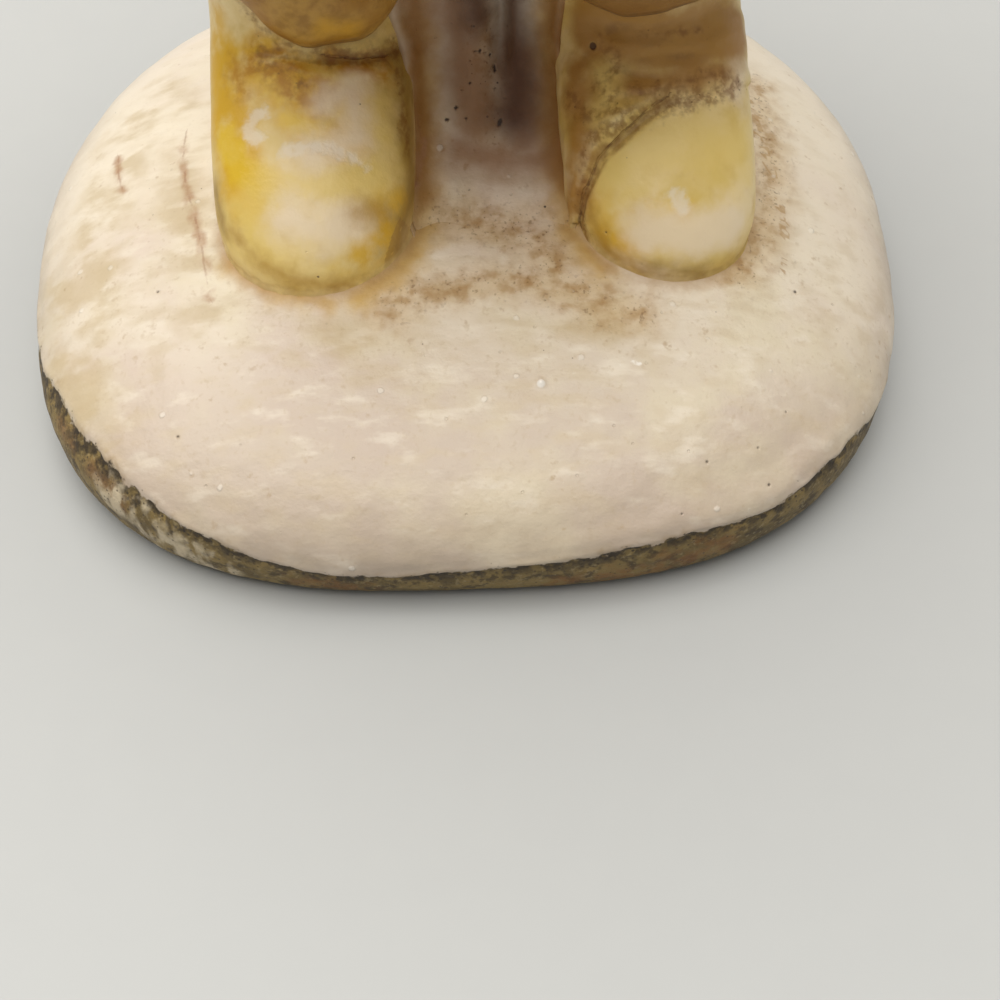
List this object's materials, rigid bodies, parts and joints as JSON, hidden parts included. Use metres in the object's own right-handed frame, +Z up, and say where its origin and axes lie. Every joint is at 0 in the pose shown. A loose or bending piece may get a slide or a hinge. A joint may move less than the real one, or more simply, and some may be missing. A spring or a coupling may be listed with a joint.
{
  "type": "porcelain santa figurine",
  "caption": "Standing santa figurine of painted bisque porcelain on a domed, hollow snow mound, in a belted fur-trimmed coat and boots.",
  "frame": {"origin": "middle of the mound's outline, on the table that the foot ring stands on", "axes": "+Z up through the figure, the figure faces -Y, +X towards the figure's left hand"},
  "size_m": [0.066, 0.065, 0.1406],
  "materials": {
    "bisque_snow": "bare bisque porcelain, satin, toned and dirtied with age",
    "boot_yellow": "worn yellow wash over bisque, satin",
    "fur_cream": "stippled bisque, cream with brown dirt in the hollows",
    "coat_red": "cold-painted red over bisque, rubbed through on the high places",
    "belt_black": "cold-painted black, satin",
    "buckle_gold": "worn gold paint",
    "skin": "flesh-toned bisque with pink cheeks",
    "beard_white": "white-painted bisque"
  },
  "bodies": {
    "root": {"base_mound": "bisque_snow", "leg_web": "bisque_snow", "right_boot": "boot_yellow", "left_boot": "boot_yellow", "right_boot_cuff": "fur_cream", "left_boot_cuff": "fur_cream", "right_trouser_leg": "coat_red", "left_trouser_leg": "coat_red", "coat_skirt": "coat_red", "coat_torso": "coat_red", "belt": "belt_black", "belt_buckle": "buckle_gold", "coat_hem_fur": "fur_cream", "skirt_front_fur": "fur_cream", "chest_front_fur": "fur_cream", "collar_fur": "fur_cream", "right_sleeve": "coat_red", "left_sleeve": "coat_red", "right_sleeve_cuff": "fur_cream", "left_sleeve_cuff": "fur_cream", "right_mitten": "boot_yellow", "left_mitten": "boot_yellow", "head": "skin", "hair": "beard_white", "beard": "beard_white", "moustache": "beard_white", "cap": "coat_red", "cap_band_fur": "fur_cream", "cap_pompom": "fur_cream"}
  },
  "joints": []
}
